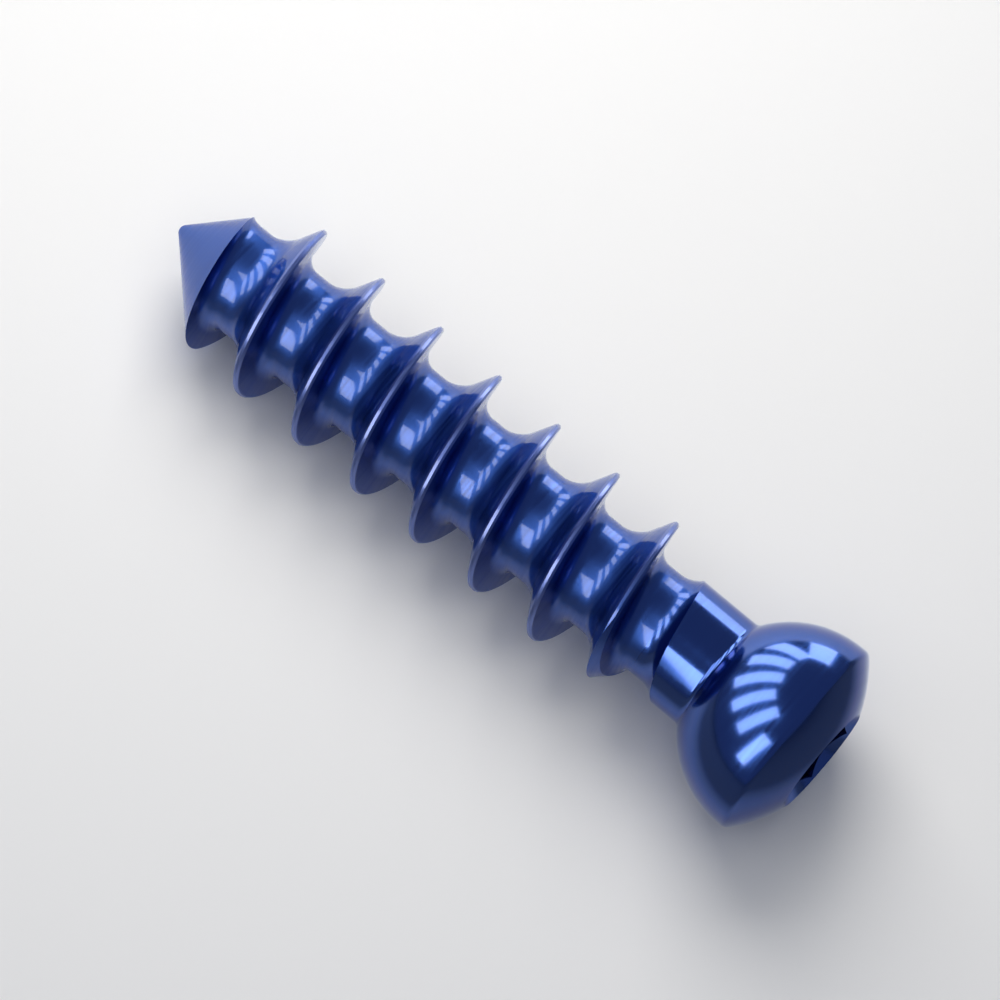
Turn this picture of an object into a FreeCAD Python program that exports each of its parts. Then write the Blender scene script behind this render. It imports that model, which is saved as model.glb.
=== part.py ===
import FreeCAD, Part
import math
import os
import Sketcher

# A fully threaded cancellous bone screw with a ball seat under its head and a hexagon socket.
# It is one piece of titanium alloy: a turned blank, a helical groove whirled into its shank,
# and a socket drilled and broached into its head.
# The blank is drawn upright, tip at the origin and head up, and is then laid down as it rests:
# on the equator of its head and on a thread crest near its tip, axis along +X, tip towards -X.

# Driving sizes in millimetres, and angles in degrees.
SIZES = (
    ("screw_length", "30.0"),
    ("thread_diameter", "6.5"),
    ("core_diameter", "3.8"),
    ("thread_pitch", "2.75"),
    ("crest_width", "0.2"),
    ("leading_flank", "30.0"),
    ("trailing_flank", "5.0"),
    ("leading_corner", "0.6"),
    ("trailing_corner", "0.5"),
    ("first_crest", "3.34"),
    ("run_out_turn", "60.0"),
    ("cutter_clearance", "0.4"),
    ("tip_angle", "90.0"),
    ("tip_radius", "0.3"),
    ("shoulder_angle", "45.0"),
    ("neck_diameter", "4.5"),
    ("neck_length", "2.75"),
    ("neck_fillet", "0.3"),
    ("head_diameter", "8.0"),
    ("rim_height", "0.3"),
    ("rim_fillet", "0.3"),
    ("dome_radius", "6.0"),
    ("socket_width", "3.5"),
    ("socket_depth", "2.8"),
    ("socket_mouth", "4.2"),
    ("mouth_angle", "90.0"),
    ("pilot_diameter", "3.3"),
    ("drill_angle", "118.0"),
)

# Worked-out sizes, each from the driving sizes and the lines above it.
DERIVED = (
    ("thread_radius", "=thread_diameter / 2"),
    ("core_radius", "=core_diameter / 2"),
    ("neck_radius", "=neck_diameter / 2"),
    ("head_radius", "=head_diameter / 2"),
    ("mouth_radius", "=socket_mouth / 2"),
    ("dome_rise", "=sqrt(dome_radius ^ 2 - mouth_radius ^ 2) - sqrt(dome_radius ^ 2 - head_radius ^ 2)"),
    ("dome_cap", "=dome_radius - sqrt(dome_radius ^ 2 - mouth_radius ^ 2)"),
    ("equator_height", "=screw_length - dome_rise - rim_height"),
    ("seat_foot", "=equator_height - sqrt(head_radius ^ 2 - neck_radius ^ 2)"),
    ("shoulder_foot", "=seat_foot - neck_length"),
    ("tip_cone_end", "=thread_radius / tan(tip_angle / 2) - tip_radius * (1 / sin(tip_angle / 2) - 1)"),
    ("groove_start", "=first_crest - 2 * thread_pitch + crest_width / 2"),
    ("groove_mouth", "=thread_pitch - crest_width"),
    ("groove_travel", "=shoulder_foot - groove_start"),
    ("groove_turn", "=360 * groove_travel / thread_pitch"),
    ("run_out_travel", "=thread_pitch * run_out_turn / 360"),
    ("run_out_slope", "=atan((neck_radius - core_radius + cutter_clearance / 4) / run_out_travel)"),
    ("thread_depth", "=thread_radius - core_radius"),
    ("leading_length", "=thread_depth / cos(leading_flank) - leading_corner"),
    ("trailing_length", "=thread_depth / cos(trailing_flank) - trailing_corner"),
    ("flank_spread", "=thread_depth * (tan(leading_flank) + tan(trailing_flank))"),
    ("root_width", "=groove_mouth - flank_spread - leading_corner - trailing_corner"),
    ("root_rise", "=thread_depth * tan(trailing_flank) + trailing_corner"),
    ("pilot_radius", "=pilot_diameter / 2"),
    ("socket_floor", "=screw_length - socket_depth"),
    ("drill_point", "=socket_floor - pilot_radius / tan(drill_angle / 2)"),
    ("mouth_foot", "=screw_length - (mouth_radius - pilot_radius) / tan(mouth_angle / 2)"),
    ("clear_height", "=screw_length + dome_cap + cutter_clearance"),
    ("clear_radius", "=mouth_radius + (dome_cap + cutter_clearance) * tan(mouth_angle / 2)"),
    ("crests_in_cone", "=max(0; ceil((tip_cone_end + crest_width / 2 - first_crest) / thread_pitch))"),
    ("rest_crest", "=first_crest + thread_pitch * crests_in_cone"),
    ("rest_span", "=equator_height - rest_crest + crest_width / 2"),
    ("rest_reach", "=sqrt(rest_span ^ 2 + thread_radius ^ 2)"),
    ("rest_tilt", "=asin(head_radius / rest_reach) - atan(thread_radius / rest_span)"),
)

UPRIGHT_PLANE = "XZ_Plane"
CROSS_PLANE = "XY_Plane"

# Sketch point numbers, and the sketch's own axes and origin as geometry numbers.
START, END, CENTRE = range(1, 4)
ORIGIN, AXIS = range(-1, -3, -1)

# Edges match when they agree to this many millimetres.
MATCH = 1e-4


def fill_sheet(doc):
    """Write the driving sizes and the worked-out ones, one row each, with their names as aliases."""
    sheet = doc.addObject("Spreadsheet::Sheet", "sizes")
    for row, (name, content) in enumerate(SIZES + DERIVED, start=1):
        sheet.set(f"A{row}", name)
        sheet.setAlias(f"B{row}", name)
        sheet.set(f"B{row}", content)
    doc.recompute()
    return sheet


def new_sketch(body, name, role):
    """Add an empty sketch on one of the body's own origin planes."""
    sketch = body.newObject("Sketcher::SketchObject", name)
    plane = next(feature for feature in body.Origin.OriginFeatures if feature.Role == role)
    sketch.AttachmentSupport = [(plane, "")]
    sketch.MapMode = "FlatFace"
    return sketch


def point(radius, height):
    """Give a sketch point of a half section: its distance from the axis and its height."""
    return FreeCAD.Vector(radius, height, 0)


def line(sketch, start, end):
    """Draw a line and give its number."""
    return sketch.addGeometry(Part.LineSegment(start, end))


def arc(sketch, centre, radius, first, last):
    """Draw an arc that turns anticlockwise between two angles in degrees, and give its number."""
    circle = Part.Circle(centre, FreeCAD.Vector(0, 0, 1), radius)
    return sketch.addGeometry(Part.ArcOfCircle(circle, math.radians(first), math.radians(last)))


def tie(sketch, kind, *where):
    """Add a constraint that needs no size."""
    sketch.addConstraint(Sketcher.Constraint(kind, *where))


def join(sketch, *ends):
    """Make the ends of neighbouring lines and arcs meet, each pair given as two ends."""
    for first, second in zip(ends[::2], ends[1::2]):
        tie(sketch, "Coincident", *first, *second)


def size(sketch, name, kind, *where, formula):
    """Add a dimension, name it and bind it to a formula of the sheet's sizes."""
    value = sketch.evalExpression(formula)
    if kind == "Angle":
        value = math.radians(value)
    index = sketch.addConstraint(Sketcher.Constraint(kind, *where, value))
    sketch.renameConstraint(index, name)
    sketch.setExpression(f"Constraints.{name}", formula)


def draw_blank(body, sheet):
    """Draw the turned blank's half section, up its outside from the tip and back down the axis."""
    sketch = new_sketch(body, "blank_section", UPRIGHT_PLANE)
    tip_half = sheet.tip_angle / 2
    nose_angle = math.radians(tip_half)
    nose_end = point(sheet.tip_radius * math.cos(nose_angle), sheet.tip_radius * (1 - math.sin(nose_angle)))
    cone_end = point(sheet.thread_radius, sheet.tip_cone_end)
    shoulder_rise = (sheet.thread_radius - sheet.neck_radius) / math.tan(math.radians(sheet.shoulder_angle))
    shoulder_top = point(sheet.thread_radius, sheet.shoulder_foot - shoulder_rise)
    shoulder_foot = point(sheet.neck_radius, sheet.shoulder_foot)
    seat_foot = point(sheet.neck_radius, sheet.seat_foot)
    seat_centre = point(0, sheet.equator_height)
    rim_foot = point(sheet.head_radius, sheet.equator_height)
    rim_top = point(sheet.head_radius, sheet.equator_height + sheet.rim_height)
    crown = point(0, sheet.screw_length + sheet.dome_cap)
    dome_centre = point(0, crown.y - sheet.dome_radius)
    seat_angle = -math.degrees(math.acos(sheet.neck_radius / sheet.head_radius))
    dome_angle = math.degrees(math.acos(sheet.head_radius / sheet.dome_radius))

    nose = arc(sketch, point(0, sheet.tip_radius), sheet.tip_radius, -90, -tip_half)
    cone = line(sketch, nose_end, cone_end)
    shank = line(sketch, cone_end, shoulder_top)
    shoulder = line(sketch, shoulder_top, shoulder_foot)
    neck = line(sketch, shoulder_foot, seat_foot)
    seat = arc(sketch, seat_centre, sheet.head_radius, seat_angle, 0)
    rim = line(sketch, rim_foot, rim_top)
    dome = arc(sketch, dome_centre, sheet.dome_radius, dome_angle, 90)
    middle = line(sketch, crown, point(0, 0))

    tie(sketch, "Tangent", nose, END, cone, START)
    join(sketch, (nose, START), (ORIGIN, START), (cone, END), (shank, START))
    join(sketch, (shank, END), (shoulder, START), (shoulder, END), (neck, START))
    join(sketch, (neck, END), (seat, START), (seat, END), (rim, START), (rim, END), (dome, START))
    join(sketch, (dome, END), (middle, START), (middle, END), (ORIGIN, START))
    for upright in (shank, neck, rim):
        tie(sketch, "Vertical", upright)
    for centred in (nose, seat, dome):
        tie(sketch, "PointOnObject", centred, CENTRE, AXIS)
    tie(sketch, "PointOnObject", middle, START, AXIS)
    tie(sketch, "Horizontal", seat, CENTRE, seat, END)

    size(sketch, "nose", "Radius", nose, formula="sizes.tip_radius")
    size(sketch, "cone", "Angle", cone, formula="90 - sizes.tip_angle / 2")
    size(sketch, "shank", "DistanceX", ORIGIN, START, shank, START, formula="sizes.thread_radius")
    size(sketch, "shoulder", "Angle", shoulder, formula="90 + sizes.shoulder_angle")
    size(sketch, "neck", "DistanceX", ORIGIN, START, neck, START, formula="sizes.neck_radius")
    size(sketch, "neck_length", "DistanceY", neck, START, neck, END, formula="sizes.neck_length")
    size(sketch, "seat", "Radius", seat, formula="sizes.head_radius")
    size(sketch, "rim", "DistanceY", rim, START, rim, END, formula="sizes.rim_height")
    size(sketch, "dome", "Radius", dome, formula="sizes.dome_radius")
    crown_formula = "sizes.screw_length + sizes.dome_cap"
    size(sketch, "crown", "DistanceY", ORIGIN, START, middle, START, formula=crown_formula)
    return sketch


def draw_groove(body, sheet, name, low_name):
    """Draw the section of the helical groove between two crests of the thread.

    The flank that faces the head is nearly square to the axis, to hold in soft bone. The flank that
    faces the tip slopes, to lead the thread in. A slope fills the corner between each and the root.
    """
    sketch = new_sketch(body, name, UPRIGHT_PLANE)
    core, crest = sheet.core_radius, sheet.thread_radius
    outside = crest + sheet.cutter_clearance
    low = getattr(sheet, low_name)
    high = low + sheet.groove_mouth
    trailing, leading = math.radians(sheet.trailing_flank), math.radians(sheet.leading_flank)
    low_bend = point(
        crest - sheet.trailing_length * math.cos(trailing), low + sheet.trailing_length * math.sin(trailing)
    )
    high_bend = point(
        crest - sheet.leading_length * math.cos(leading), high - sheet.leading_length * math.sin(leading)
    )
    root_foot = point(core, low + sheet.root_rise)
    root_top = point(core, low + sheet.root_rise + sheet.root_width)

    corners = (
        point(crest, low), low_bend, root_foot, root_top, high_bend,
        point(crest, high), point(outside, high), point(outside, low),
    )
    sides = [line(sketch, start, end) for start, end in zip(corners, corners[1:] + corners[:1])]
    for side, following in zip(sides, sides[1:] + sides[:1]):
        join(sketch, (side, END), (following, START))
    trailing_flank, _, root, _, leading_flank, high_rim, clear_side, low_rim = sides
    low_crest = (trailing_flank, START)
    high_crest = (leading_flank, END)
    for level in (low_rim, high_rim):
        tie(sketch, "Horizontal", level)
    for upright in (root, clear_side):
        tie(sketch, "Vertical", upright)

    size(sketch, "low_edge", "DistanceY", ORIGIN, START, *low_crest, formula=f"sizes.{low_name}")
    size(sketch, "mouth", "DistanceY", *low_crest, *high_crest, formula="sizes.groove_mouth")
    size(sketch, "low_crest", "DistanceX", ORIGIN, START, *low_crest, formula="sizes.thread_radius")
    size(sketch, "high_crest", "DistanceX", ORIGIN, START, *high_crest, formula="sizes.thread_radius")
    size(sketch, "clearance", "DistanceX", *high_crest, high_rim, END, formula="sizes.cutter_clearance")
    size(sketch, "core", "DistanceX", ORIGIN, START, root, START, formula="sizes.core_radius")
    size(sketch, "root_rise", "DistanceY", *low_crest, root, START, formula="sizes.root_rise")
    size(sketch, "root_width", "DistanceY", root, START, root, END, formula="sizes.root_width")
    size(sketch, "trailing_flank", "Angle", trailing_flank, formula="180 - sizes.trailing_flank")
    size(sketch, "trailing_length", "Distance", trailing_flank, formula="sizes.trailing_length")
    size(sketch, "leading_flank", "Angle", leading_flank, formula="sizes.leading_flank")
    size(sketch, "leading_length", "Distance", leading_flank, formula="sizes.leading_length")
    return sketch


def draw_bore(body, sheet):
    """Draw the half section that the pilot drill and the countersink clear out of the head."""
    sketch = new_sketch(body, "bore_section", UPRIGHT_PLANE)
    corners = (
        point(0, sheet.drill_point),
        point(sheet.pilot_radius, sheet.socket_floor),
        point(sheet.pilot_radius, sheet.mouth_foot),
        point(sheet.clear_radius, sheet.clear_height),
        point(0, sheet.clear_height),
    )
    drill_point, wall, countersink, top, middle = (
        line(sketch, start, end) for start, end in zip(corners, corners[1:] + corners[:1])
    )
    join(sketch, (drill_point, END), (wall, START), (wall, END), (countersink, START))
    join(sketch, (countersink, END), (top, START), (top, END), (middle, START))
    join(sketch, (middle, END), (drill_point, START))
    tie(sketch, "Vertical", wall)
    tie(sketch, "Horizontal", top)
    for on_axis in (START, END):
        tie(sketch, "PointOnObject", middle, on_axis, AXIS)

    size(sketch, "pilot", "DistanceX", ORIGIN, START, wall, START, formula="sizes.pilot_radius")
    size(sketch, "floor", "DistanceY", ORIGIN, START, wall, START, formula="sizes.socket_floor")
    size(sketch, "drill", "Angle", drill_point, formula="90 - sizes.drill_angle / 2")
    size(sketch, "mouth_foot", "DistanceY", ORIGIN, START, wall, END, formula="sizes.mouth_foot")
    size(sketch, "mouth", "Angle", countersink, formula="90 - sizes.mouth_angle / 2")
    size(sketch, "top", "DistanceY", ORIGIN, START, top, START, formula="sizes.clear_height")
    return sketch


def draw_hexagon(body, sheet):
    """Draw the driver's hexagon at the height of the socket's mouth."""
    sketch = new_sketch(body, "hexagon", CROSS_PLANE)
    sketch.setExpression("AttachmentOffset.Base.z", "sizes.screw_length")
    corner_radius = sheet.socket_width / 2 / math.cos(math.radians(30))
    corners = [
        point(corner_radius * math.cos(math.radians(angle)), corner_radius * math.sin(math.radians(angle)))
        for angle in range(0, 360, 60)
    ]
    sides = [line(sketch, start, end) for start, end in zip(corners, corners[1:] + corners[:1])]
    circle = sketch.addGeometry(Part.Circle(point(0, 0), FreeCAD.Vector(0, 0, 1), corner_radius), True)
    tie(sketch, "Coincident", circle, CENTRE, ORIGIN, START)
    for side, following in zip(sides, sides[1:] + sides[:1]):
        tie(sketch, "Coincident", side, END, following, START)
        tie(sketch, "PointOnObject", side, START, circle)
    for side in sides[1:]:
        tie(sketch, "Equal", sides[0], side)
    tie(sketch, "Horizontal", sides[1])
    size(sketch, "corners", "Radius", circle, formula="sizes.socket_width / 2 / cos(30)")
    return sketch


def ring(feature, radius, height):
    """Name the feature's circular edge of a radius at a height."""
    for number, edge in enumerate(feature.Shape.Edges, start=1):
        if edge.Degenerated or not isinstance(edge.Curve, Part.Circle):
            continue
        circle = edge.Curve
        if abs(circle.Radius - radius) < MATCH and abs(circle.Center.z - height) < MATCH:
            return f"Edge{number}"
    raise RuntimeError(f"{feature.Label} has no ring of radius {radius} at height {height}")


def round_edge(body, name, feature, edge, formula):
    """Round one edge of a feature by a formula of the sheet's sizes."""
    rounded = body.newObject("PartDesign::Fillet", name)
    rounded.Base = (feature, [edge])
    rounded.setExpression("Radius", formula)
    body.Document.recompute()
    return rounded


def revolve(body, kind, name, sketch):
    """Turn a half section all the way round the axis, to add or to cut."""
    feature = body.newObject(f"PartDesign::{kind}", name)
    feature.Profile = sketch
    feature.ReferenceAxis = (sketch, ["V_Axis"])
    feature.Angle = 360
    body.Document.recompute()
    return feature


def cut_helix(body, name, sketch, travel_name):
    """Cut a right-handed helical groove that climbs by a size of the sheet."""
    groove = body.newObject("PartDesign::SubtractiveHelix", name)
    groove.Profile = sketch
    groove.ReferenceAxis = (sketch, ["V_Axis"])
    groove.Mode = "pitch-height-angle"
    groove.setExpression("Pitch", "sizes.thread_pitch")
    groove.setExpression("Height", f"sizes.{travel_name}")
    groove.LeftHanded = False
    groove.Reversed = False
    return groove


def make_screw(doc, sheet):
    """Build the screw upright in a body of its own, in the order in which it is made."""
    body = doc.addObject("PartDesign::Body", "cancellous_screw")
    body.Label = "cancellous_screw"

    blank = revolve(body, "Revolution", "turned_blank", draw_blank(body, sheet))
    rim_top = sheet.equator_height + sheet.rim_height
    rim_edge = ring(blank, sheet.head_radius, rim_top)
    rim = round_edge(body, "rim_edge", blank, rim_edge, "sizes.rim_fillet")
    neck_corner = ring(rim, sheet.neck_radius, sheet.seat_foot)
    round_edge(body, "neck_corner", rim, neck_corner, "sizes.neck_fillet")

    groove_section = draw_groove(body, sheet, "groove_section", "groove_start")
    thread = cut_helix(body, "thread_groove", groove_section, "groove_travel")
    thread.Angle = 0
    doc.recompute()

    run_out_section = draw_groove(body, sheet, "run_out_section", "shoulder_foot")
    run_out_section.AttachmentOffset = FreeCAD.Placement(
        FreeCAD.Vector(0, 0, 0), FreeCAD.Rotation(FreeCAD.Vector(0, 1, 0), sheet.groove_turn)
    )
    run_out_section.setExpression("AttachmentOffset.Rotation.Angle", "sizes.groove_turn * 1 deg")
    run_out = cut_helix(body, "groove_run_out", run_out_section, "run_out_travel")
    run_out.setExpression("Angle", "sizes.run_out_slope")
    doc.recompute()

    revolve(body, "Groove", "drilled_bore", draw_bore(body, sheet))
    hexagon = body.newObject("PartDesign::Pocket", "broached_hexagon")
    hexagon.Profile = draw_hexagon(body, sheet)
    hexagon.setExpression("Length", "sizes.socket_depth")
    doc.recompute()
    return body


def lay_down(body, sheet):
    """Lay the screw on its head's equator and on its first full crest, centred over the origin."""
    body.Placement = FreeCAD.Placement(
        FreeCAD.Vector(0, 0, 0), FreeCAD.Rotation(FreeCAD.Vector(0, 1, 0), 90 - sheet.rest_tilt.Value)
    )
    body.setExpression("Placement.Rotation.Angle", "90 deg - sizes.rest_tilt")
    reach = "sizes.screw_length * cos(sizes.rest_tilt) + sizes.mouth_radius * sin(sizes.rest_tilt)"
    body.setExpression("Placement.Base.x", f"-({reach}) / 2")
    body.setExpression("Placement.Base.z", "sizes.head_radius - sizes.equator_height * sin(sizes.rest_tilt)")
    body.Document.recompute()


def check(doc, parts):
    """Stop on any object that failed, and on any part without a valid solid."""
    for entry in doc.Objects:
        if "Invalid" in entry.State or "Error" in entry.State:
            raise RuntimeError(f"{entry.Label} failed: {entry.State}")
    for part in parts:
        if part.Shape.isNull() or not part.Shape.isValid() or not part.Shape.Solids:
            raise RuntimeError(f"{part.Label} has no valid solid")


def main():
    """Build the document and write each part to its own file."""
    doc = FreeCAD.newDocument("cancellous_screw")
    sheet = fill_sheet(doc)
    screw = make_screw(doc, sheet)
    lay_down(screw, sheet)
    check(doc, [screw])
    os.makedirs("parts", exist_ok=True)
    screw.Shape.exportStep(f"parts/{screw.Label}.step")


main()
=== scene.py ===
"""Dresses a fully threaded cancellous bone screw of blue anodised titanium, lying on a pale table.

The screw is modelled again with a finer thread than its solid has, at the solid's own sizes and place.
Every size in a property is in metres. The mesh is worked in millimetres and scaled down at the end.
"""

import math

import bmesh
import bpy
from mathutils import Matrix, Vector


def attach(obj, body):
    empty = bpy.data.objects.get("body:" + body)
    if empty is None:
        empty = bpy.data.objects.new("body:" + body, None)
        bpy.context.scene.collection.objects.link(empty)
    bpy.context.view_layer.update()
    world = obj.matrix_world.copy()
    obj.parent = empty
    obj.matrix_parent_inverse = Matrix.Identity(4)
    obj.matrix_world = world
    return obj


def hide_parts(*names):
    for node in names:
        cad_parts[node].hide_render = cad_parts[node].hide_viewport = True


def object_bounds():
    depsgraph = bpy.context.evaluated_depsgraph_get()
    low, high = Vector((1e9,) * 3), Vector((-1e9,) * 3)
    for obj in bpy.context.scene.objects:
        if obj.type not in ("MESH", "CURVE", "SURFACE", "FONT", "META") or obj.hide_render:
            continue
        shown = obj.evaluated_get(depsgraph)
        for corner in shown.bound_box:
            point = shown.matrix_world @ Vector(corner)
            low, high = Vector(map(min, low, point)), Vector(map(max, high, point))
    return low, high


bl_info = {
    "name": "Cancellous bone screw",
    "version": (1, 0, 0),
    "blender": (4, 5, 0),
    "location": "View3D > Sidebar > Bone screw",
    "description": "Models and dresses a cancellous bone screw and sets up its studio",
    "category": "Object",
}

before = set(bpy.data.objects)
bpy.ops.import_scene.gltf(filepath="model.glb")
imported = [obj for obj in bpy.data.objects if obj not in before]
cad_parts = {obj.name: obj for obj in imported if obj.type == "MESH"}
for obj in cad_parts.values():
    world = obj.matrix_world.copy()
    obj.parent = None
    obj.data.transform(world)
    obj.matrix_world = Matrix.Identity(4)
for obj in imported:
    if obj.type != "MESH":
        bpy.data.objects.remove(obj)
cad_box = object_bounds()

NODE = "cancellous_screw"
BODY = "root"
MILLIMETRES = 1000.0

# Points of a section lie in the XZ plane, and a turn from +X towards +Z runs round this axis.
SECTION_TURN = Vector((0, -1, 0))

# Points of a turned mesh closer than this become one, in millimetres.
MERGE_DISTANCE = 1e-5

# Edges sharper than this stay sharp, in degrees.
SHARP_ANGLE = 32

# The lathe's marks are rings, so their pattern is close along the screw and long across it. The first is
# how often it varies across, in cycles a metre, and the second scales the pattern both ways.
MARKS_ACROSS = 60.0
MARKS_NOISE_SCALE = 0.35

# In metres: the neck's polish starts at the thread's end and is full this far on.
POLISH_FADE = 0.0006

# In metres: where the crests' painted highlight, a paler blue, starts and is full, inwards from the crest,
# and where it starts to fade and has gone, down the screw from the thread's end. The shoulder and the head
# keep the plain blue.
CREST_HIGHLIGHT_INWARDS = (0.00015, 0.00007)
CREST_HIGHLIGHT_BELOW = (0.0015, 0.0010)

# The big round light past the screw's tip: its dark middle as an azimuth and an elevation, and for each
# of its ribs the turn round that middle and where it starts and ends off it, all in degrees.
FAN_MIDDLE = (65, 52)
FAN_RIBS = ((-14, 50, 84), (6, 50, 88), (28, 50, 96), (51, 54, 99), (74, 54, 99))
FAN_DISTANCE = 0.30
RIB_WIDTH = 0.062
RIB_RADIANCE = 3.4

# The other lights: azimuth and elevation in degrees, distance and two sides in metres, and radiance.
# The soft ones light the table and don't show in the screw. The strips show in it as bright lines only.
SOFT_LIGHTS = {
    "fill": ((137, 52), 0.085, (0.066, 0.066), 4.5),
    "sky": ((-90, 80), 0.15, (0.165, 0.165), 1.08),
}
STRIPS = {
    "far_strip": ((99, 11), 0.070, (0.022, 0.032), RIB_RADIANCE),
    "near_strip": ((-105, 34), FAN_DISTANCE, (0.062, 0.21), 1.2 * RIB_RADIANCE),
}

# The sides of the table top, in metres.
TABLE_SIDES = (3.0, 3.0)

# The grey card on the table, which paints shade into the screw's reflections, in metres: its sides, its
# middle, how far from the origin it starts to darken, towards -Y and towards +X, and over how much. Then its
# grey at the screw and its grey far away, which is painted shade.
CARD_SIDES = (1.10, 0.80)
CARD_MIDDLE = (0.05, -0.20, 0.0001)
CARD_NEAR, CARD_AHEAD, CARD_FADE = 0.0030, 0.0150, 0.0080
CARD_LIGHT_GREY, CARD_SHADE_GREY = 0.86, 0.15


def linear(hex_colour):
    """Turn an sRGB hex colour into linear red, green, blue and alpha."""
    channels = [int(hex_colour[place:place + 2], 16) / 255 for place in (1, 3, 5)]
    return (*[c / 12.92 if c <= 0.04045 else ((c + 0.055) / 1.055) ** 2.4 for c in channels], 1.0)


def length_property(name, description, default):
    """A length in metres."""
    return bpy.props.FloatProperty(
        name=name, description=description, default=default, unit="LENGTH", subtype="DISTANCE", precision=5
    )


def angle_property(name, description, degrees):
    """An angle, stored in radians."""
    return bpy.props.FloatProperty(
        name=name, description=description, default=math.radians(degrees), unit="ROTATION", subtype="ANGLE"
    )


def share_property(name, description, default):
    """A plain number from 0 to 1."""
    return bpy.props.FloatProperty(name=name, description=description, default=default, min=0, max=1)


def colour_property(name, description, hex_colour):
    """A colour, stored as linear light."""
    return bpy.props.FloatVectorProperty(
        name=name, description=description, default=linear(hex_colour), size=4, subtype="COLOR", min=0, max=1
    )


class ScrewSizes(bpy.types.PropertyGroup):
    """The screw's sizes, the same as its solid's."""

    length: length_property("Length", "From the nose to the end of the head", 0.030)
    thread_diameter: length_property("Thread", "Diameter over the crests", 0.0065)
    core_diameter: length_property("Core", "Diameter at the root of the thread", 0.0038)
    pitch: length_property("Pitch", "Distance from crest to crest", 0.00275)
    crest_width: length_property("Crest", "Width of the flat on the crest", 0.0002)
    crest_bevel: length_property("Crest bevel", "Width of the edge on each side of the crest", 0.00007)
    leading_flank: angle_property("Leading flank", "Slope of the flank towards the tip", 30.0)
    trailing_flank: angle_property("Trailing flank", "Slope of the flank towards the head", 5.0)
    leading_corner: length_property("Leading corner", "Root rounding, measured along the flank", 0.0006)
    trailing_corner: length_property("Trailing corner", "Root rounding, measured along the flank", 0.0005)
    first_crest: length_property("First crest", "Height of a crest in the section plane", 0.00334)
    run_out_turn: angle_property("Run-out", "Turn in which the groove fades out on the neck", 60.0)
    tip_angle: angle_property("Tip angle", "Full angle of the conical tip", 90.0)
    tip_radius: length_property("Nose radius", "Rounding of the tip", 0.0003)
    shoulder_angle: angle_property("Shoulder angle", "Slope behind the last thread", 45.0)
    neck_diameter: length_property("Neck", "Diameter of the plain neck", 0.0045)
    neck_length: length_property("Neck length", "From the shoulder to the seat", 0.00275)
    neck_fillet: length_property("Neck fillet", "Rounding between neck and seat", 0.0003)
    head_diameter: length_property("Head", "Diameter of the ball seat", 0.008)
    rim_height: length_property("Rim", "Height of the straight band above the seat", 0.0003)
    rim_bevel: length_property("Rim bevel", "Rounding between the band and the dome", 0.0003)
    dome_radius: length_property("Dome radius", "Radius of the domed end", 0.006)
    socket_width: length_property("Socket", "Width of the hexagon across its flats", 0.0035)
    socket_depth: length_property("Socket depth", "Depth of the hexagon from the end", 0.0028)
    socket_mouth: length_property("Socket mouth", "Diameter of the countersunk mouth", 0.0042)
    mouth_angle: angle_property("Mouth angle", "Full angle of the countersink", 90.0)
    pilot_diameter: length_property("Pilot", "Diameter of the hole drilled before the hexagon", 0.0033)
    drill_angle: angle_property("Drill angle", "Full angle of the pilot drill's point", 118.0)
    clearance: length_property("Clearance", "How far the cutters reach past the surface", 0.0004)
    turn_steps: bpy.props.IntProperty(
        name="Steps a turn", description="Facets in one full turn", default=144, min=24, max=360
    )
    arc_steps: bpy.props.IntProperty(
        name="Steps an arc", description="Facets in a rounded corner", default=8, min=2, max=48
    )


class ScrewFinish(bpy.types.PropertyGroup):
    """The colours and the polish of the anodised titanium."""

    blue: colour_property("Blue", "Colour that the oxide film gives the metal, square on", "#3b60b0")
    # The crest blue is a painted highlight: a paler blue painted along the crests in place of the light they
    # reflect.
    crest: colour_property("Crest blue", "The same on the crests, where the film is thinner", "#7587c8")
    edge: colour_property("Edge blue", "Colour of the film at a grazing angle", "#8496be")
    roughness: share_property("Roughness", "How much the head and the neck blur reflections", 0.16)
    thread_roughness: share_property("Thread roughness", "The same for the thread, as it was cut", 0.36)
    film: share_property("Film gloss", "Strength of the clear film's own white reflection", 1.0)
    film_roughness: share_property("Film roughness", "How much that reflection is blurred", 0.08)
    turning_mark: length_property("Turning marks", "Spacing of the lathe's marks, coarser to show", 0.00005)


class StudioSettings(bpy.types.PropertyGroup):
    """The table, the lights and the camera."""

    table_colour: colour_property("Table", "Colour of the pale table top", "#f3f0e9")
    room_colour: colour_property("Room", "Colour of the dim room that the screw mirrors", "#93a3c8")
    room_light: share_property("Room light", "Strength of the room's own light", 0.34)
    camera_turn: angle_property("Camera turn", "Round the screw from the front towards its head", 21.3)
    camera_rise: angle_property("Camera rise", "Above the table", 70.0)
    camera_distance: length_property("Camera distance", "From the screw's middle", 0.250)
    axis_slant: angle_property("Axis slant", "Slope of the screw's axis in the picture, head down", 40.3)
    picture_width: length_property("Picture width", "Width of the scene at the screw's middle", 0.0355)
    screw_rise: length_property("Screw rise", "How far the screw's middle is above the picture's", 0.00039)


def millimetres(sizes):
    """Give the sizes as plain numbers, lengths in millimetres and angles in radians."""
    plain = {}
    for name, prop in sizes.bl_rna.properties.items():
        if name not in ScrewSizes.__annotations__:
            continue
        value = getattr(sizes, name)
        plain[name] = value * MILLIMETRES if prop.unit == "LENGTH" else value
    return plain


def reach(bm, vert, radius, height):
    """Extend a section from its last vertex to a new place."""
    new = bmesh.ops.extrude_vert_indiv(bm, verts=[vert])["verts"][0]
    new.co = (radius, 0, height)
    return new


def sweep(bm, vert, centre, angle, steps):
    """Extend a section from its last vertex along an arc round a centre, positive from +X towards +Z."""
    swept = bmesh.ops.spin(
        bm, geom=[vert], cent=(centre[0], 0, centre[1]), axis=SECTION_TURN, angle=angle, steps=steps,
        use_duplicate=False,
    )
    return swept["geom_last"][0]


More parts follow.
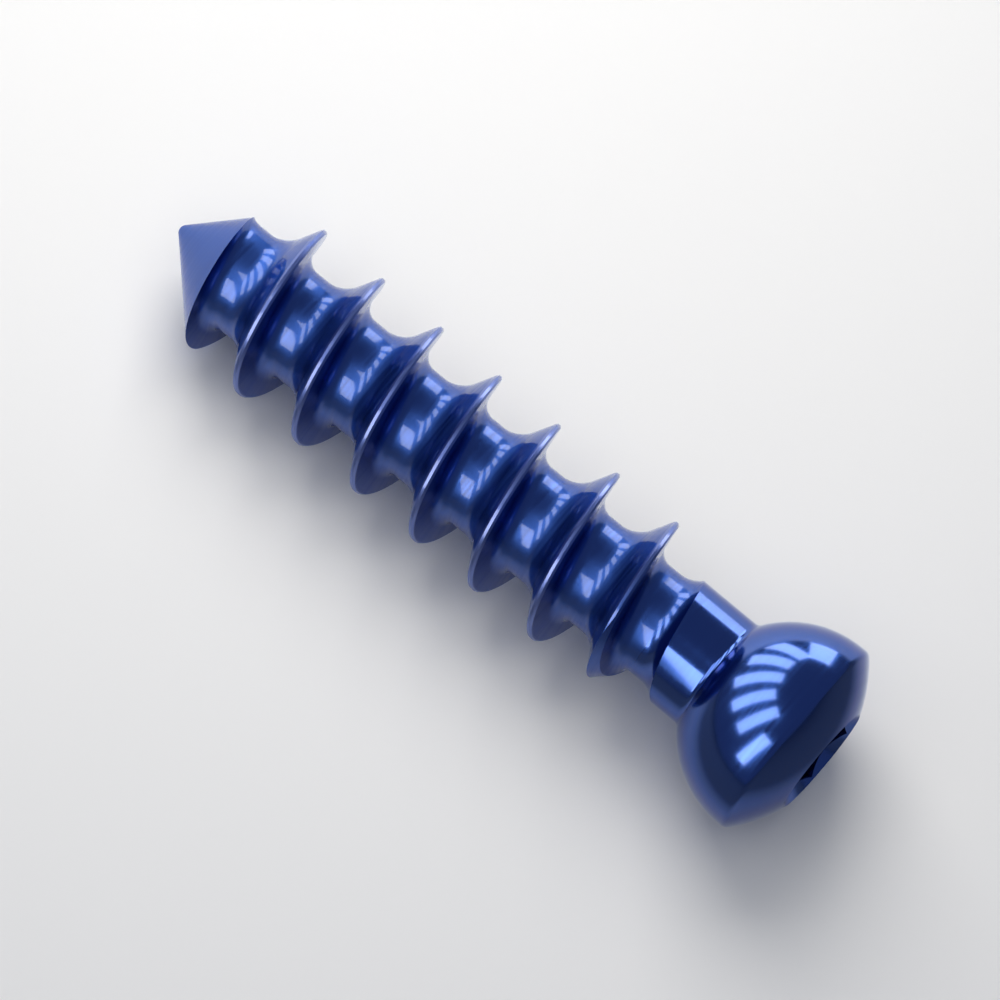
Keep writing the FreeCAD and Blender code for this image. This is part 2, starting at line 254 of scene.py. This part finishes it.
def turn_full(bm, steps):
    """Turn a half section all the way round, and close its seam and its poles."""
    bmesh.ops.spin(
        bm, geom=bm.verts[:] + bm.edges[:], cent=(0, 0, 0), axis=(0, 0, 1), angle=math.tau, steps=steps,
        use_merge=True, use_duplicate=False,
    )
    bmesh.ops.remove_doubles(bm, verts=bm.verts[:], dist=MERGE_DISTANCE)
    bmesh.ops.dissolve_degenerate(bm, dist=MERGE_DISTANCE, edges=bm.edges[:])
    bmesh.ops.recalc_face_normals(bm, faces=bm.faces[:])


def finished_object(bm, name):
    """Put a bmesh into a new object of the scene."""
    mesh = bpy.data.meshes.new(name)
    bm.to_mesh(mesh)
    bm.free()
    made = bpy.data.objects.new(name, mesh)
    bpy.context.scene.collection.objects.link(made)
    return made


def heights(s):
    """Work out the heights that the sizes give, as in the solid."""
    thread, neck, head, mouth = (
        s[name] / 2 for name in ("thread_diameter", "neck_diameter", "head_diameter", "socket_mouth")
    )
    dome = s["dome_radius"]
    mouth_sag = dome - math.sqrt(dome ** 2 - mouth ** 2)
    rise = math.sqrt(dome ** 2 - mouth ** 2) - math.sqrt(dome ** 2 - head ** 2)
    equator = s["length"] - rise - s["rim_height"]
    seat_foot = equator - math.sqrt(head ** 2 - neck ** 2)
    half_tip = s["tip_angle"] / 2
    return {
        "cone_end": thread / math.tan(half_tip) - s["tip_radius"] * (1 / math.sin(half_tip) - 1),
        "shoulder_foot": seat_foot - s["neck_length"],
        "equator": equator,
        "crown": s["length"] + mouth_sag,
        "groove_start": s["first_crest"] - 2 * s["pitch"] + s["crest_width"] / 2,
    }


def turned_blank(s, at):
    """Turn the blank: nose, conical tip, thread cylinder, shoulder, neck, ball seat, rim and dome."""
    thread, neck, head = (s[name] / 2 for name in ("thread_diameter", "neck_diameter", "head_diameter"))
    nose, fillet, bevel, dome = s["tip_radius"], s["neck_fillet"], s["rim_bevel"], s["dome_radius"]
    steps = s["arc_steps"]
    shoulder_rise = (thread - neck) / math.tan(s["shoulder_angle"])
    fillet_height = at["equator"] - math.sqrt((head + fillet) ** 2 - (neck + fillet) ** 2)
    seat_slope = math.atan2(at["equator"] - fillet_height, neck + fillet)
    dome_centre = at["crown"] - dome
    bevel_height = dome_centre + math.sqrt((dome - bevel) ** 2 - (head - bevel) ** 2)
    dome_slope = math.atan2(bevel_height - dome_centre, head - bevel)

    bm = bmesh.new()
    vert = bm.verts.new((0, 0, 0))
    vert = sweep(bm, vert, (0, nose), math.pi / 2 - s["tip_angle"] / 2, steps)
    vert = reach(bm, vert, thread, at["cone_end"])
    vert = reach(bm, vert, thread, at["shoulder_foot"] - shoulder_rise)
    vert = reach(bm, vert, neck, at["shoulder_foot"])
    vert = reach(bm, vert, neck, fillet_height)
    vert = sweep(bm, vert, (neck + fillet, fillet_height), -seat_slope, steps)
    vert = sweep(bm, vert, (0, at["equator"]), seat_slope, 6 * steps)
    vert = reach(bm, vert, head, bevel_height)
    vert = sweep(bm, vert, (head - bevel, bevel_height), dome_slope, steps)
    pole = sweep(bm, vert, (0, dome_centre), math.pi / 2 - dome_slope, 6 * steps)
    pole.co = (0, 0, at["crown"])
    turn_full(bm, s["turn_steps"])
    return finished_object(bm, NODE + "_fine")


def groove_section(bm, s, at):
    """Draw the groove's section and round its two root corners."""
    crest, core, bevel = s["thread_diameter"] / 2, s["core_diameter"] / 2, s["crest_bevel"]
    depth = crest - core
    low = at["groove_start"]
    high = low + s["pitch"] - s["crest_width"]
    outside = crest + s["clearance"]
    flare = 1.25 * bevel
    lead, trail = math.tan(s["leading_flank"]), math.tan(s["trailing_flank"])

    corners = [
        (crest - bevel, low + bevel * trail),
        (core, low + depth * trail),
        (core, high - depth * lead),
        (crest - bevel, high - bevel * lead),
        (crest - bevel + flare, high - bevel * lead + flare),
        (outside, high - bevel * lead + flare),
        (outside, low + bevel * trail - flare),
        (crest - bevel + flare, low + bevel * trail - flare),
    ]
    verts = [bm.verts.new((radius, 0, height)) for radius, height in corners]
    bm.faces.new(verts)
    for corner, size in ((verts[1], s["trailing_corner"]), (verts[2], s["leading_corner"])):
        bmesh.ops.bevel(
            bm, geom=[corner], affect="VERTICES", offset=size, offset_type="OFFSET", segments=s["arc_steps"],
            profile=0.5, material=-1, clamp_overlap=True,
        )


def thread_cutter(s, at):
    """Wind the groove's section up the shank, then draw it out of the neck over part of a turn."""
    bm = bmesh.new()
    groove_section(bm, s, at)
    section = finished_object(bm, "groove_section")
    turns = (at["shoulder_foot"] - at["groove_start"]) / s["pitch"]
    wind = section.modifiers.new("wind", "SCREW")
    wind.angle = turns * math.tau
    wind.screw_offset = turns * s["pitch"]
    wind.steps = wind.render_steps = round(turns * s["turn_steps"])
    bm = bmesh.new()
    bm.from_object(section, bpy.context.evaluated_depsgraph_get())
    bpy.data.objects.remove(section)
    above_start = at["groove_start"] + s["pitch"]
    wound = [edge for edge in bm.edges if edge.is_boundary and edge.verts[0].co.z > above_start]
    wound += {vert for edge in wound for vert in edge.verts}

    out_steps = round(s["run_out_turn"] / math.tau * s["turn_steps"])
    step_angle = s["run_out_turn"] / out_steps
    step_out = ((s["neck_diameter"] - s["core_diameter"]) / 2 + s["clearance"] / 4) / out_steps
    angle = turns * math.tau
    for _ in range(out_steps):
        angle += step_angle
        wound = bmesh.ops.spin(
            bm, geom=wound, cent=(0, 0, 0), axis=(0, 0, 1), dvec=(0, 0, s["pitch"] * step_angle / math.tau),
            angle=step_angle, steps=1, use_duplicate=False,
        )["geom_last"]
        last = [item for item in wound if isinstance(item, bmesh.types.BMVert)]
        outward = Vector((math.cos(angle), math.sin(angle), 0))
        bmesh.ops.translate(bm, verts=last, vec=outward * step_out)

    rims = [edge for edge in bm.edges if edge.is_boundary]
    bmesh.ops.holes_fill(bm, edges=rims, sides=0)
    bmesh.ops.recalc_face_normals(bm, faces=bm.faces[:])
    return finished_object(bm, "thread_cutter")


def drill_cutter(s, at):
    """Turn the space that the pilot drill and the countersink clear."""
    pilot, mouth = s["pilot_diameter"] / 2, s["socket_mouth"] / 2
    floor = s["length"] - s["socket_depth"]
    top = at["crown"] + s["clearance"]
    half_mouth = math.tan(s["mouth_angle"] / 2)

    bm = bmesh.new()
    vert = bm.verts.new((0, 0, floor - pilot / math.tan(s["drill_angle"] / 2)))
    vert = reach(bm, vert, pilot, floor)
    vert = reach(bm, vert, pilot, s["length"] - (mouth - pilot) / half_mouth)
    vert = reach(bm, vert, mouth + (top - s["length"]) * half_mouth, top)
    reach(bm, vert, 0, top)
    turn_full(bm, s["turn_steps"])
    return finished_object(bm, "drill_cutter")


def hexagon_cutter(s, at):
    """Raise the driver's hexagon from the socket's floor past the end of the head."""
    floor = s["length"] - s["socket_depth"]
    rise = at["crown"] + s["clearance"] - floor
    corner = s["socket_width"] / 2 / math.cos(math.pi / 6)
    bm = bmesh.new()
    place = Matrix.Translation((0, 0, floor)) @ Matrix.Rotation(math.pi / 6, 4, "Z")
    bmesh.ops.create_circle(bm, cap_ends=True, segments=6, radius=corner, matrix=place)
    raised = bmesh.ops.extrude_face_region(bm, geom=bm.faces[:])["geom"]
    bmesh.ops.translate(bm, verts=[v for v in raised if isinstance(v, bmesh.types.BMVert)], vec=(0, 0, rise))
    bmesh.ops.recalc_face_normals(bm, faces=bm.faces[:])
    return finished_object(bm, "hexagon_cutter")


def cut_away(work, cutters):
    """Cut the cutters out of the work one after the other, and remove them."""
    for cutter in cutters:
        cut = work.modifiers.new(cutter.name, "BOOLEAN")
        cut.operation = "DIFFERENCE"
        cut.solver = "MANIFOLD"
        cut.object = cutter
    graph = bpy.context.evaluated_depsgraph_get()
    mesh = bpy.data.meshes.new_from_object(work.evaluated_get(graph))
    work.modifiers.clear()
    rough = work.data
    work.data = mesh
    mesh.name = work.name
    bpy.data.meshes.remove(rough)
    for cutter in cutters:
        bpy.data.objects.remove(cutter)


def resting_place(s, at):
    """Work out how the screw lies: on its head's equator and on its first full crest, tip towards -X."""
    head, thread = s["head_diameter"] / 2, s["thread_diameter"] / 2
    span = at["equator"] - s["first_crest"] + s["crest_width"] / 2
    tilt = math.asin(head / math.hypot(span, thread)) - math.atan(thread / span)
    reach_x = s["length"] * math.cos(tilt) + s["socket_mouth"] / 2 * math.sin(tilt)
    lift = head - at["equator"] * math.sin(tilt)
    return Matrix.Translation((-reach_x / 2, 0, lift)) @ Matrix.Rotation(math.pi / 2 - tilt, 4, "Y")


def add_node(tree, kind, place, settings=None, links=None):
    """Add a shader node with its settings, and link its inputs to other nodes' outputs.

    An input or output is given by its name, or by its number where several share a name.
    """
    node = tree.nodes.new(kind)
    node.location = place
    for name, value in (settings or {}).items():
        if isinstance(name, int) or name in node.inputs:
            node.inputs[name].default_value = value
        else:
            setattr(node, name, value)
    for name, (source, output) in (links or {}).items():
        tree.links.new(source.outputs[output], node.inputs[name])
    return node


def anodised_titanium(finish, lie, crest, thread_end):
    """Titanium alloy, turned and polished, then anodised.

    The oxide film is clear and only tens of nanometres thick, so the metal keeps its shine, and light that
    is reflected from both sides of the film comes back blue, paler at a grazing angle. The crests are painted
    a paler blue, a painted highlight along them.
    The crest is a radius and the thread's end a height along the upright screw, both in metres.
    """
    material = bpy.data.materials.new("anodised_titanium")
    material.use_nodes = True
    tree = material.node_tree
    tree.nodes.clear()
    place = add_node(tree, "ShaderNodeTexCoord", (-1400, 0))

    # The place on the upright screw, as a height up its axis and a radius off it.
    upright = add_node(
        tree, "ShaderNodeMapping", (-1200, 400),
        {
            "vector_type": "TEXTURE",
            "Location": lie.to_translation() / MILLIMETRES, "Rotation": lie.to_euler(),
        },
        {"Vector": (place, "Object")},
    )
    along = add_node(tree, "ShaderNodeSeparateXYZ", (-1000, 400), links={"Vector": (upright, "Vector")})
    across = add_node(
        tree, "ShaderNodeCombineXYZ", (-800, 600), links={"X": (along, "X"), "Y": (along, "Y")}
    )
    radius = add_node(
        tree, "ShaderNodeVectorMath", (-600, 600), {"operation": "LENGTH"}, {0: (across, "Vector")}
    )

    # The colour, with a painted highlight: a paler blue painted along the crests.
    highlight_in, highlight_full = CREST_HIGHLIGHT_INWARDS
    fade_start, fade_end = CREST_HIGHLIGHT_BELOW
    outside = add_node(
        tree, "ShaderNodeMapRange", (-400, 700),
        {"From Min": crest - highlight_in, "From Max": crest - highlight_full}, {"Value": (radius, "Value")},
    )
    below = add_node(
        tree, "ShaderNodeMapRange", (-400, 450),
        {
            "From Min": thread_end - fade_start, "From Max": thread_end - fade_end,
            "To Min": 1.0, "To Max": 0.0,
        },
        {"Value": (along, "Z")},
    )
    painted_crest_highlight = add_node(
        tree, "ShaderNodeMath", (-200, 600), {"operation": "MULTIPLY"},
        {0: (outside, "Result"), 1: (below, "Result")},
    )
    colour = add_node(
        tree, "ShaderNodeMix", (0, 600), {"data_type": "RGBA", 6: finish.blue, 7: finish.crest},
        {0: (painted_crest_highlight, "Value")},
    )

    # The lathe's fine marks, in relief and in the polish, which is duller on the thread.
    marks = add_node(
        tree, "ShaderNodeMapping", (-1200, 0),
        {"Scale": (1 / finish.turning_mark, MARKS_ACROSS, MARKS_ACROSS)}, {"Vector": (place, "Object")},
    )
    grain = add_node(
        tree, "ShaderNodeTexNoise", (-1000, 0),
        {"Scale": MARKS_NOISE_SCALE, "Detail": 3.0, "Roughness": 0.6}, {"Vector": (marks, "Vector")},
    )
    streaks = add_node(
        tree, "ShaderNodeMapRange", (-600, 50),
        {"From Min": 0.35, "From Max": 0.65, "To Min": 0.8, "To Max": 1.25}, {"Value": (grain, "Fac")},
    )
    polish = add_node(
        tree, "ShaderNodeMapRange", (-600, 300),
        {
            "From Min": thread_end, "From Max": thread_end + POLISH_FADE,
            "To Min": finish.thread_roughness, "To Max": finish.roughness,
        },
        {"Value": (along, "Z")},
    )
    blur = add_node(
        tree, "ShaderNodeMath", (-200, 200), {"operation": "MULTIPLY"},
        {0: (polish, "Result"), 1: (streaks, "Result")},
    )
    relief = add_node(
        tree, "ShaderNodeBump", (-200, -50),
        {"Strength": 0.05, "Distance": 0.00001}, {"Height": (grain, "Fac")},
    )

    metal = add_node(
        tree, "ShaderNodeBsdfPrincipled", (250, 200),
        {
            "Metallic": 1.0, "Specular Tint": finish.edge,
            "Coat Weight": finish.film, "Coat Roughness": finish.film_roughness,
        },
        {"Base Color": (colour, 2), "Roughness": (blur, "Value"), "Normal": (relief, "Normal")},
    )
    add_node(tree, "ShaderNodeOutputMaterial", (550, 200), links={"Surface": (metal, "BSDF")})
    return material


def painted(name, colour, roughness):
    """A plain matt surface, such as the table top."""
    material = bpy.data.materials.new(name)
    material.use_nodes = True
    shader = material.node_tree.nodes["Principled BSDF"]
    shader.inputs["Base Color"].default_value = colour
    shader.inputs["Roughness"].default_value = roughness
    return material


class OBJECT_OT_cancellous_screw(bpy.types.Operator):
    """Model the screw with its fine thread and dress it in anodised titanium"""

    bl_idname = "object.cancellous_screw"
    bl_label = "Cancellous screw"

    def execute(self, context):
        s = millimetres(context.scene.screw_sizes)
        at = heights(s)
        screw = turned_blank(s, at)
        cut_away(screw, [thread_cutter(s, at), drill_cutter(s, at), hexagon_cutter(s, at)])

        mesh = screw.data
        lie = resting_place(s, at)
        mesh.transform(Matrix.Scale(1 / MILLIMETRES, 4) @ lie)
        mesh.polygons.foreach_set("use_smooth", [True] * len(mesh.polygons))
        mesh.set_sharp_from_angle(angle=math.radians(SHARP_ANGLE))
        mesh.materials.clear()
        crest, thread_end = s["thread_diameter"] / 2 / MILLIMETRES, at["shoulder_foot"] / MILLIMETRES
        mesh.materials.append(anodised_titanium(context.scene.screw_finish, lie, crest, thread_end))
        mesh.validate()

        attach(screw, BODY)
        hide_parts(NODE)
        return {"FINISHED"}


def camera_axes(settings):
    """Give the picture's right, up and backward directions, with the screw sloping down to its head."""
    turn, rise = settings.camera_turn, settings.camera_rise
    back = Vector((math.sin(turn) * math.cos(rise), -math.cos(turn) * math.cos(rise), math.sin(rise)))
    along = Vector((1, 0, 0))
    along = (along - along.dot(back) * back).normalized()
    across = back.cross(along)
    right = math.cos(settings.axis_slant) * along + math.sin(settings.axis_slant) * across
    return right, back.cross(right), back


def add_camera(settings, target):
    """Look at the screw's middle from the set side, with the set width of the scene in the picture."""
    right, up, back = camera_axes(settings)
    data = bpy.data.cameras.new("camera")
    camera = bpy.data.objects.new("camera", data)
    bpy.context.scene.collection.objects.link(camera)
    data.sensor_width = 36.0
    data.lens = data.sensor_width * settings.camera_distance / settings.picture_width
    data.clip_start, data.clip_end = 0.01, 10.0
    turned = Matrix((right, up, back)).transposed().to_4x4()
    aim = target - up * settings.screw_rise
    camera.matrix_world = Matrix.Translation(aim + back * settings.camera_distance) @ turned
    bpy.context.scene.camera = camera


def direction(azimuth, elevation):
    """Point at an azimuth from +X towards +Y and an elevation, both in degrees."""
    turn, rise = math.radians(azimuth), math.radians(elevation)
    return Vector((math.cos(turn) * math.cos(rise), math.sin(turn) * math.cos(rise), math.sin(rise)))


def hang_panel(name, towards, along, distance, sides, radiance, target):
    """Hang a soft panel that faces the screw, with its second side along a direction."""
    data = bpy.data.lights.new(name, "AREA")
    data.shape = "RECTANGLE"
    data.size, data.size_y = sides
    data.energy = radiance * math.pi * sides[0] * sides[1]
    panel = bpy.data.objects.new(name, data)
    bpy.context.scene.collection.objects.link(panel)
    along = (along - along.dot(towards) * towards).normalized()
    turned = Matrix((along.cross(towards), along, towards)).transposed().to_4x4()
    panel.matrix_world = Matrix.Translation(target + towards * distance) @ turned
    return panel


def hang_fan(target):
    """Hang the ribs of a big round light past the screw's tip, all pointing at the light's dark middle."""
    middle = direction(*FAN_MIDDLE)
    level = Vector((0, 0, 1)).cross(middle).normalized()
    low = middle.cross(level)
    for number, (turn, start, end) in enumerate(FAN_RIBS, start=1):
        outward = math.cos(math.radians(turn)) * level + math.sin(math.radians(turn)) * low
        off = math.radians((start + end) / 2)
        towards = math.cos(off) * middle + math.sin(off) * outward
        sides = (RIB_WIDTH, 2 * FAN_DISTANCE * math.tan(math.radians(end - start) / 2))
        rib = hang_panel(f"rib_{number}", towards, middle, FAN_DISTANCE, sides, RIB_RADIANCE, target)
        rib.visible_diffuse = False


def hang_lights(target):
    """Hang the fan, the soft lights and the strips round the screw."""
    hang_fan(target)
    upright = Vector((0, 0, 1))
    for name, (angles, distance, sides, radiance) in SOFT_LIGHTS.items():
        light = hang_panel(name, direction(*angles), upright, distance, sides, radiance, target)
        light.visible_glossy = False
    for name, (angles, distance, sides, radiance) in STRIPS.items():
        strip = hang_panel(name, direction(*angles), upright, distance, sides, radiance, target)
        strip.visible_diffuse = False


def fading_card():
    """Matt card, as light as the table at the screw, that darkens away from its near side and its head:
    painted shade on the table that the screw mirrors.
    """
    material = bpy.data.materials.new("fading_card")
    material.use_nodes = True
    tree = material.node_tree
    place = add_node(tree, "ShaderNodeTexCoord", (-1100, 0))
    split = add_node(tree, "ShaderNodeSeparateXYZ", (-900, 0), links={"Vector": (place, "Object")})
    near = add_node(
        tree, "ShaderNodeMath", (-700, -100), {"operation": "MULTIPLY_ADD", 1: -1, 2: -CARD_NEAR},
        {0: (split, "Y")},
    )
    ahead = add_node(
        tree, "ShaderNodeMath", (-700, 100), {"operation": "SUBTRACT", 1: CARD_AHEAD}, {0: (split, "X")}
    )
    away = add_node(
        tree, "ShaderNodeMath", (-500, 0), {"operation": "MAXIMUM"}, {0: (near, "Value"), 1: (ahead, "Value")}
    )
    grey = add_node(
        tree, "ShaderNodeMapRange", (-300, 0),
        {"From Min": 0.0, "From Max": CARD_FADE, "To Min": CARD_LIGHT_GREY, "To Max": CARD_SHADE_GREY},
        {"Value": (away, "Value")},
    )
    shader = tree.nodes["Principled BSDF"]
    shader.inputs["Roughness"].default_value = 0.9
    tree.links.new(grey.outputs["Result"], shader.inputs["Base Color"])
    return material


def flat_rectangle(name, sides, middle, material):
    """Lay a flat rectangle with its middle at a place."""
    bm = bmesh.new()
    bmesh.ops.create_grid(bm, x_segments=1, y_segments=1, size=0.5)
    bmesh.ops.scale(bm, vec=(*sides, 1), verts=bm.verts[:])
    bmesh.ops.translate(bm, vec=middle, verts=bm.verts[:])
    laid = finished_object(bm, name)
    laid.data.materials.append(material)
    return laid


class SCENE_OT_screw_studio(bpy.types.Operator):
    """Lay the table and set up the soft lights and the camera"""

    bl_idname = "scene.screw_studio"
    bl_label = "Studio"

    def execute(self, context):
        settings = context.scene.screw_studio
        low, high = cad_box
        target = (low + high) / 2

        paint = painted("painted_table_top", settings.table_colour, 0.8)
        table = flat_rectangle("table", TABLE_SIDES, (0, 0, 0), paint)

        world = bpy.data.worlds.new("studio")
        context.scene.world = world
        world.use_nodes = True
        room = world.node_tree.nodes["Background"]
        room.inputs["Color"].default_value = settings.room_colour
        room.inputs["Strength"].default_value = settings.room_light
        context.scene.view_settings.view_transform = "Standard"

        hang_lights(target)

        # The card shows only in the screw's reflections, where its darkening is painted shade on the mirrored
        # table.
        card = flat_rectangle("fading_card", CARD_SIDES, CARD_MIDDLE, fading_card())
        card.visible_camera = card.visible_diffuse = card.visible_shadow = False

        add_camera(settings, target)
        return {"FINISHED"}


class VIEW3D_PT_cancellous_screw(bpy.types.Panel):
    """List the screw's sizes, finish and studio, with buttons for the two operators"""

    bl_idname = "VIEW3D_PT_cancellous_screw"
    bl_label = "Cancellous screw"
    bl_space_type = "VIEW_3D"
    bl_region_type = "UI"
    bl_category = "Bone screw"

    def draw(self, context):
        layout = self.layout
        for group in (context.scene.screw_sizes, context.scene.screw_finish, context.scene.screw_studio):
            box = layout.box()
            for name in type(group).__annotations__:
                box.prop(group, name)
        layout.operator(OBJECT_OT_cancellous_screw.bl_idname)
        layout.operator(SCENE_OT_screw_studio.bl_idname)


CLASSES = (
    ScrewSizes,
    ScrewFinish,
    StudioSettings,
    OBJECT_OT_cancellous_screw,
    SCENE_OT_screw_studio,
    VIEW3D_PT_cancellous_screw,
)


def register():
    """Register the classes and hang the settings on the scene."""
    for cls in CLASSES:
        bpy.utils.register_class(cls)
    bpy.types.Scene.screw_sizes = bpy.props.PointerProperty(type=ScrewSizes)
    bpy.types.Scene.screw_finish = bpy.props.PointerProperty(type=ScrewFinish)
    bpy.types.Scene.screw_studio = bpy.props.PointerProperty(type=StudioSettings)


def unregister():
    """Take the settings off the scene and the classes out."""
    del bpy.types.Scene.screw_studio
    del bpy.types.Scene.screw_finish
    del bpy.types.Scene.screw_sizes
    for cls in reversed(CLASSES):
        bpy.utils.unregister_class(cls)


def main():
    """Build the screw and its studio."""
    register()
    bpy.ops.object.cancellous_screw()
    bpy.ops.scene.screw_studio()


if __name__ == "__main__":
    main()
